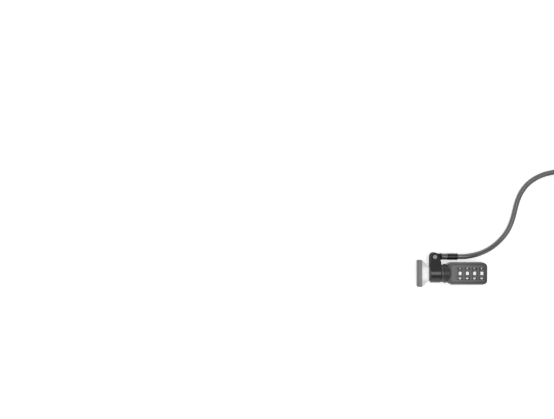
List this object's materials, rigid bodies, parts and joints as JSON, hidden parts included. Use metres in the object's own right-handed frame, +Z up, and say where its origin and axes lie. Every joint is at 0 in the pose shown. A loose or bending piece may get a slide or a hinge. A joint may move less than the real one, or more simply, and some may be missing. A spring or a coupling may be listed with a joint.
{
  "type": "laptop cable lock",
  "caption": "Combination cable lock for a laptop: slotted adapter, swivel collar with a hinged cable end, row of number dials, push button, and a coiled steel cable with a loop.",
  "frame": {"origin": "centre of the adapter's glued face, on the lock's own axis", "axes": "+X from the glued face along the lock to its push button, +Y across the lock towards the cable's side, +Z up through the dial windows"},
  "size_m": [0.1887, 0.1018, 0.0257],
  "materials": {
    "housing": "satin",
    "end_cap": "satin",
    "black_metal": "satin",
    "steel": "brushed",
    "rivet": "brushed",
    "black_plastic": "matte",
    "black_gloss": "gloss",
    "dial": "satin",
    "foam": "matte",
    "adapter_plate": "satin",
    "adapter_boss": "satin",
    "cable": "satin",
    "tie": "matte"
  },
  "bodies": {
    "lock_body": {"upper_shell": "housing", "base_cover": "housing", "end_cap": "end_cap", "cap_pins": "steel", "neck_flange": "black_metal", "barrel": "steel", "barrel_pins": "steel", "nose_ring": "black_plastic", "anti_turn_pins": "steel", "swivel_washer": "housing", "return_spring": "steel", "detent_spring": "steel", "adapter_pad": "foam", "adapter_plate": "adapter_plate", "adapter_boss": "adapter_boss", "adapter_screws": "steel"},
    "collar": {"swivel_collar": "black_metal", "hinge_rivet": "rivet"},
    "cable_end": {"cable_eye": "black_metal", "crimp_ferrule": "steel", "cable_sleeve": "black_gloss", "cable_run": "cable", "cable_coil": "cable", "cable_tail": "cable", "cable_loop": "cable", "loop_ferrule": "steel", "coil_tie": "tie"},
    "first_dial": {"dial_1": "dial", "code_ring_1": "steel"},
    "second_dial": {"dial_2": "dial", "code_ring_2": "steel"},
    "third_dial": {"dial_3": "dial", "code_ring_3": "steel"},
    "fourth_dial": {"dial_4": "dial", "code_ring_4": "steel"},
    "button": {"push_button": "black_metal", "plunger": "steel"},
    "spindle": {"lock_spindle": "steel", "cross_pin": "steel", "spindle_clip": "steel"}
  },
  "joints": [
    {"name": "collar_swivel", "type": "hinge", "parent": "lock_body", "child": "collar", "pos_m": [0.0152, 0, 0], "axis": [1, 0, 0], "continuous": true},
    {"name": "cable_hinge", "type": "hinge", "parent": "collar", "child": "cable_end", "pos_m": [0.0145, 0.0143, 0], "axis": [0, 0, 1], "range_deg": [0, 150]},
    {"name": "first_dial_turn", "type": "hinge", "parent": "lock_body", "child": "first_dial", "pos_m": [0.0358, 0, 0], "axis": [1, 0, 0], "continuous": true},
    {"name": "second_dial_turn", "type": "hinge", "parent": "lock_body", "child": "second_dial", "pos_m": [0.04195, 0, 0], "axis": [1, 0, 0], "continuous": true},
    {"name": "third_dial_turn", "type": "hinge", "parent": "lock_body", "child": "third_dial", "pos_m": [0.0481, 0, 0], "axis": [1, 0, 0], "continuous": true},
    {"name": "fourth_dial_turn", "type": "hinge", "parent": "lock_body", "child": "fourth_dial", "pos_m": [0.05425, 0, 0], "axis": [1, 0, 0], "continuous": true},
    {"name": "button_push", "type": "slide", "parent": "lock_body", "child": "button", "axis": [-1, 0, 0], "range_m": [0, 0.0015], "stiffness_N_per_m": 300, "deforming": ["return_spring"]},
    {"name": "spindle_turn", "type": "hinge", "parent": "lock_body", "child": "spindle", "pos_m": [0.0185, 0, 0], "axis": [1, 0, 0], "range_deg": [0, 90]}
  ],
  "couplings": [
    {"joint": "spindle_turn", "follows": "button_push", "rad_per_m": 1047.2}
  ]
}
